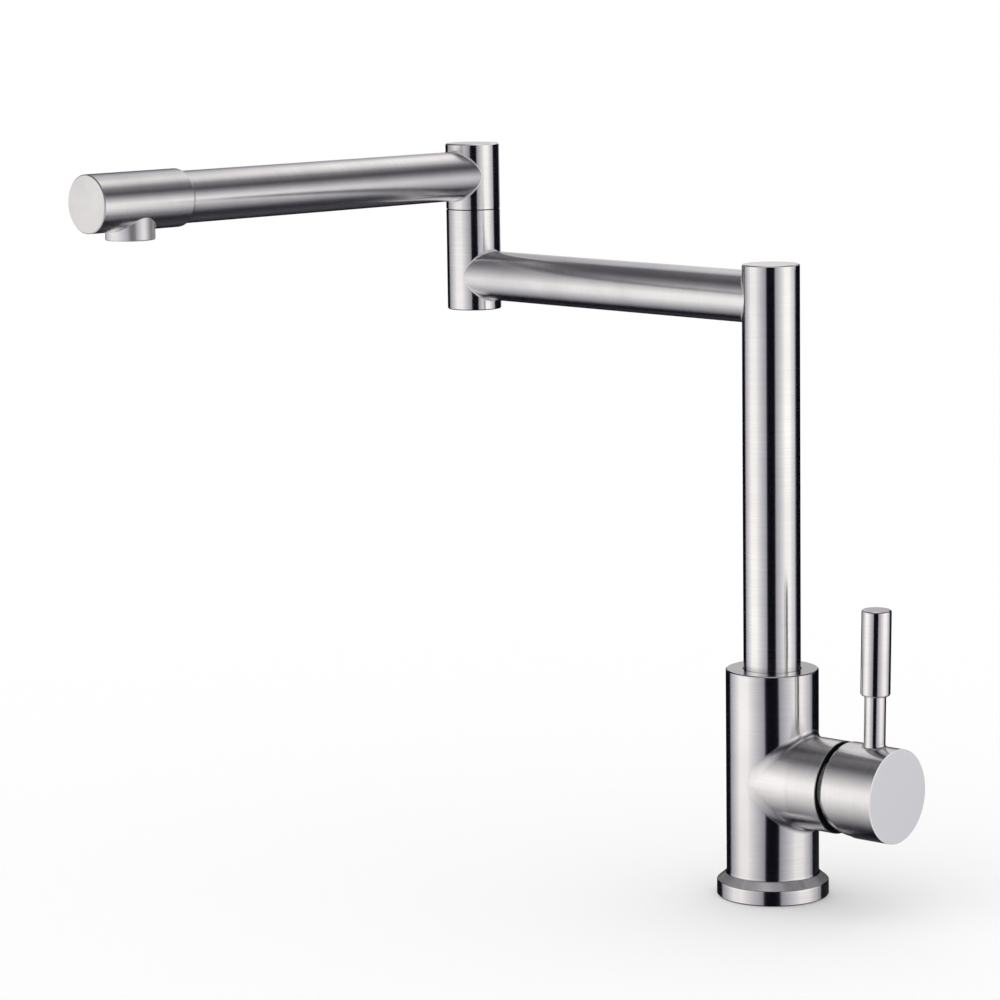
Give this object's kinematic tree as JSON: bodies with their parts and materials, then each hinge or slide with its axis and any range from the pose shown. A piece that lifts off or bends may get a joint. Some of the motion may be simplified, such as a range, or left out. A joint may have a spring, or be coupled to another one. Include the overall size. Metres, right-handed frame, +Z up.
{
  "type": "kitchen faucet",
  "caption": "Kitchen sink faucet with a swivelling riser, a folding two-stage arm, and a side lever that mixes hot and cold water.",
  "frame": {"origin": "centre of the foot's flat underside, on the deck, where the clamping stud screws in", "axes": "+Z up along the riser, +X along the side branch towards the knob, +Y to the back as the part is stored: the lower arm points to -X and the upper arm to -Y"},
  "size_m": [0.316, 0.2698, 0.362],
  "materials": {
    "satin_steel": "satin brushed",
    "plain_steel": "plain",
    "brass": "machined",
    "rubber": "matte",
    "black_plastic": "matte",
    "white_plastic": "matte",
    "ceramic": "polished"
  },
  "bodies": {
    "base": {"mixer_body": "satin_steel", "side_branch": "satin_steel", "base_gasket": "rubber", "riser_bush": "white_plastic", "riser_washer": "black_plastic", "riser_lock_screw": "plain_steel", "cartridge_base": "white_plastic", "port_seals": "rubber", "fixed_disc": "ceramic", "cartridge_housing": "white_plastic", "retaining_nut": "brass", "trim_ring": "black_plastic"},
    "riser": {"riser_tube": "satin_steel", "riser_cap": "satin_steel", "riser_spigot": "brass", "riser_o_rings": "rubber", "lower_arm": "satin_steel", "elbow_lower_housing": "satin_steel", "elbow_bottom_cap": "satin_steel", "elbow_bearing": "brass", "elbow_washer": "black_plastic"},
    "upper_arm": {"elbow_upper_housing": "satin_steel", "elbow_top_cap": "satin_steel", "elbow_spigot": "brass", "elbow_o_rings": "rubber", "elbow_clip": "plain_steel", "upper_arm": "satin_steel", "head_sleeve": "satin_steel", "head_cap": "satin_steel", "nozzle_collar": "satin_steel", "aerator_housing": "plain_steel", "aerator_screen": "white_plastic", "aerator_gasket": "rubber"},
    "cartridge_rotor": {"cartridge_rotor": "black_plastic", "pivot_pin": "plain_steel"},
    "handle": {"spindle": "plain_steel", "knob": "satin_steel", "lever_stem": "satin_steel", "lever_grip": "satin_steel", "knob_grub_screw": "plain_steel", "grub_screw_plug": "plain_steel"},
    "disc_drive": {"moving_disc": "ceramic", "disc_carrier": "white_plastic"}
  },
  "joints": [
    {"name": "riser_swivel", "type": "hinge", "parent": "base", "child": "riser", "pos_m": [0, 0, 0], "axis": [0, 0, 1], "continuous": true},
    {"name": "elbow_swivel", "type": "hinge", "parent": "riser", "child": "upper_arm", "pos_m": [-0.21045, 0.02101, 0], "axis": [0, 0, 1], "continuous": true},
    {"name": "handle_mix", "type": "hinge", "parent": "base", "child": "cartridge_rotor", "pos_m": [0, 0, 0.059], "axis": [1, 0, 0], "range_deg": [-45, 45]},
    {"name": "handle_lift", "type": "hinge", "parent": "cartridge_rotor", "child": "handle", "pos_m": [0.0556, 0, 0.059], "axis": [0, 1, 0], "range_deg": [0, 20]},
    {"name": "disc_slide", "type": "slide", "parent": "cartridge_rotor", "child": "disc_drive", "axis": [0, 0, 1], "range_m": [0, 0.0044]}
  ],
  "couplings": [
    {"joint": "disc_slide", "follows": "handle_lift", "m_per_rad": 0.0126}
  ]
}
